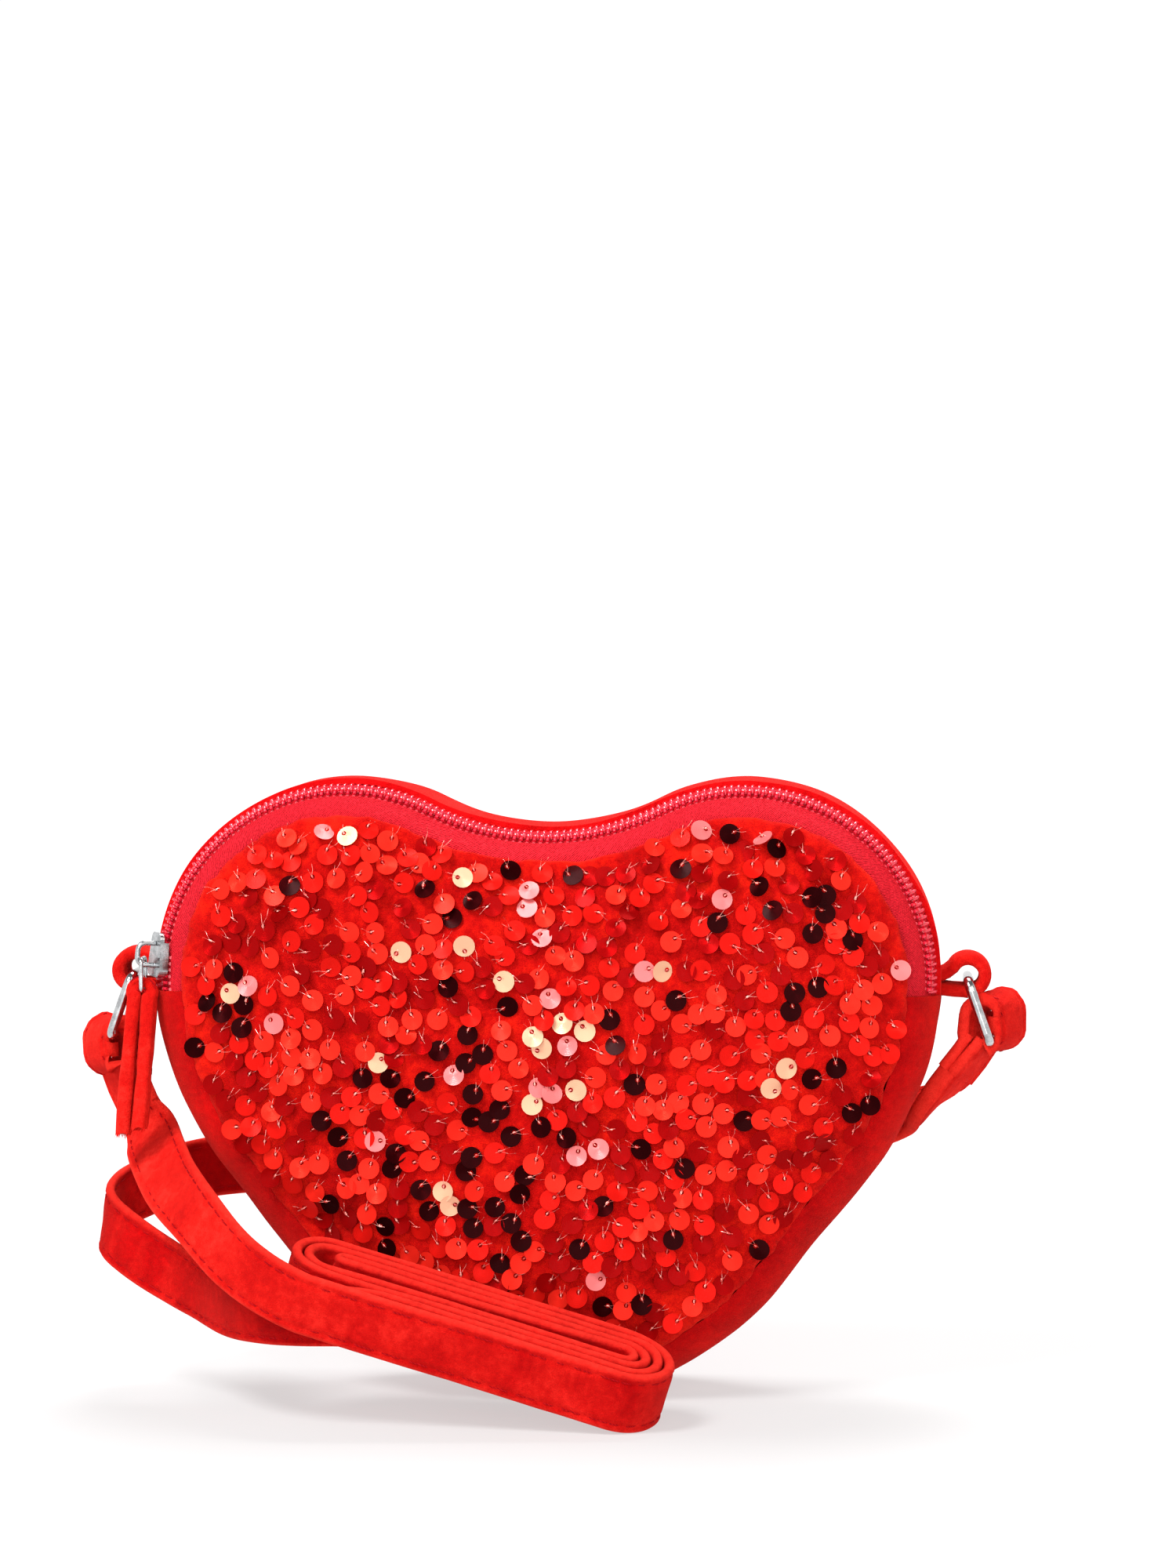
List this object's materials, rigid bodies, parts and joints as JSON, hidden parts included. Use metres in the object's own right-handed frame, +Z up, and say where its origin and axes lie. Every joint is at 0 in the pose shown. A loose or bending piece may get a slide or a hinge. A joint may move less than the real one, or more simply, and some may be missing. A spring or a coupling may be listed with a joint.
{
  "type": "heart shaped purse",
  "caption": "Small heart shaped velvet purse with a sequined front, a curved zip over both lobes, side rings and a wound shoulder strap.",
  "frame": {"origin": "middle of the small flat patch at the tip of the heart, which the purse stands on", "axes": "+X to the right over both lobes, +Y from the sequined front to the back, +Z up"},
  "size_m": [0.226, 0.0907, 0.1479],
  "materials": {
    "panel_velvet": "orange-red crushed velvet with a short pile",
    "gusset_velvet": "red velvet with a short pile",
    "strap_velvet": "bright red velvet strapping, topstitched",
    "wadding": "needled polyester wadding",
    "lining_cloth": "plain woven polyester lining",
    "zip_tape": "woven polyester zip tape",
    "zip_coil": "nylon coil",
    "nickel": "polished nickel plate",
    "sequin_film": "mirror-coated red film"
  },
  "bodies": {
    "purse": {"front_panel": "panel_velvet", "front_padding": "wadding", "front_lining": "lining_cloth", "back_panel": "gusset_velvet", "back_padding": "wadding", "back_lining": "lining_cloth", "sequins": "sequin_film", "lower_gusset": "gusset_velvet", "lower_gusset_lining": "lining_cloth", "top_gusset": "gusset_velvet", "top_gusset_lining": "lining_cloth", "zip_tape_front": "zip_tape", "zip_tape_rear": "zip_tape", "zip_coil_front": "zip_coil", "zip_coil_rear": "zip_coil", "left_ring_loop": "strap_velvet", "right_ring_loop": "strap_velvet", "strap_front_run": "strap_velvet", "strap_hank": "strap_velvet", "strap_back_run": "strap_velvet"},
    "slider": {"slider_body": "nickel"},
    "pull_ring": {"pull_ring": "nickel"},
    "pull_tab": {"pull_tab": "strap_velvet"},
    "left_ring": {"left_ring": "nickel", "strap_left_end": "strap_velvet"},
    "right_ring": {"right_ring": "nickel", "strap_right_end": "strap_velvet"}
  },
  "joints": [
    {"name": "zip_slide", "type": "hinge", "parent": "purse", "child": "slider", "pos_m": [-0.0475, -0.0153, 0.101], "axis": [0, 1, 0], "range_deg": [0, 100], "deforming": ["zip_coil_front", "zip_coil_rear"]},
    {"name": "pull_ring_swing", "type": "hinge", "parent": "slider", "child": "pull_ring", "pos_m": [-0.09631, -0.01798, 0.10492], "axis": [0, 1, 0], "range_deg": [0, 100]},
    {"name": "pull_tab_swing", "type": "hinge", "parent": "pull_ring", "child": "pull_tab", "pos_m": [-0.09631, -0.01798, 0.09722], "axis": [0, 1, 0], "range_deg": [-3, 55]},
    {"name": "left_ring_swing", "type": "hinge", "parent": "purse", "child": "left_ring", "pos_m": [-0.10085, 0, 0.0999], "axis": [0, 1, 0], "range_deg": [0, 110], "deforming": ["strap_front_run"]},
    {"name": "right_ring_swing", "type": "hinge", "parent": "purse", "child": "right_ring", "pos_m": [0.10085, 0, 0.0999], "axis": [0, -1, 0], "range_deg": [0, 46], "deforming": ["strap_back_run"]}
  ]
}
